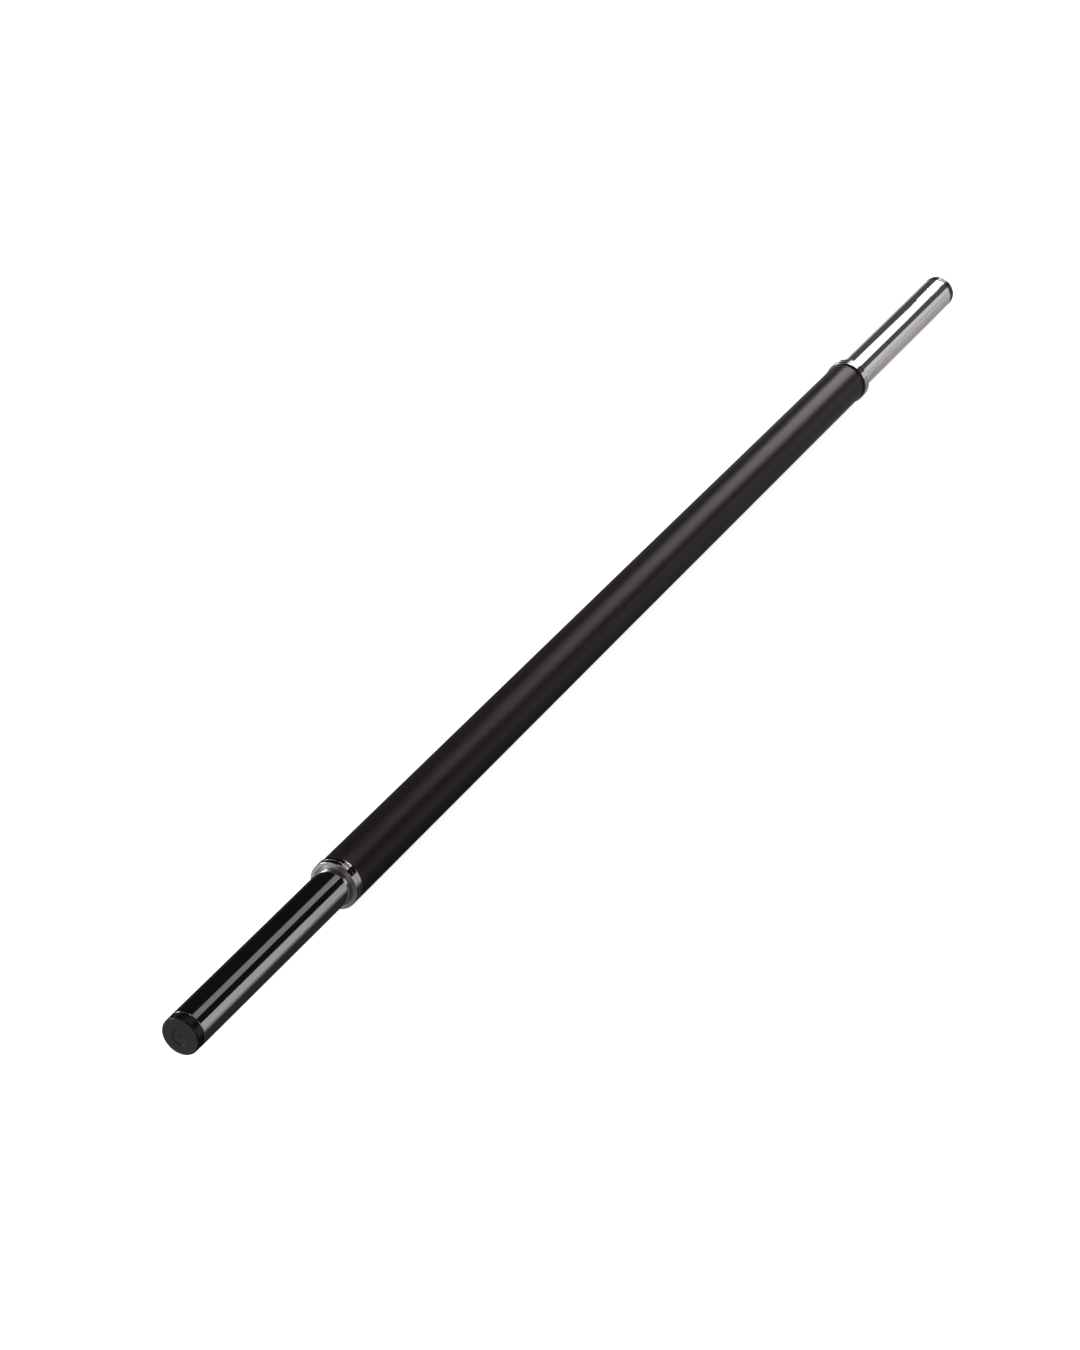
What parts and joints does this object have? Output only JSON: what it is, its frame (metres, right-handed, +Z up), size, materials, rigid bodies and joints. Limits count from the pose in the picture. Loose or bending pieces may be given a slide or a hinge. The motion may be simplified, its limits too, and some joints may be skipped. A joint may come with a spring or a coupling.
{
  "type": "devil stick",
  "caption": "Straight juggling stick: chromed tube with a black rubber grip between chrome collars, bare ends and black end plugs.",
  "frame": {"origin": "middle of the stick, on its long axis", "axes": "+X along the stick towards its right end, where the grip is thinner; +Z up; the stick lies level"},
  "size_m": [0.72, 0.0208, 0.0208],
  "materials": {
    "chrome_plate": "polished",
    "grip_rubber": "matte",
    "bonding_tape": "matte",
    "spring_steel": "satin",
    "plug_plastic": "satin moulded"
  },
  "bodies": {
    "root": {"core_tube": "chrome_plate", "grip_sleeve": "grip_rubber", "grip_tape": "bonding_tape", "left_collar": "chrome_plate", "right_collar": "chrome_plate", "left_snap_ring": "spring_steel", "right_snap_ring": "spring_steel", "left_end_plug": "plug_plastic", "right_end_plug": "plug_plastic"}
  },
  "joints": []
}
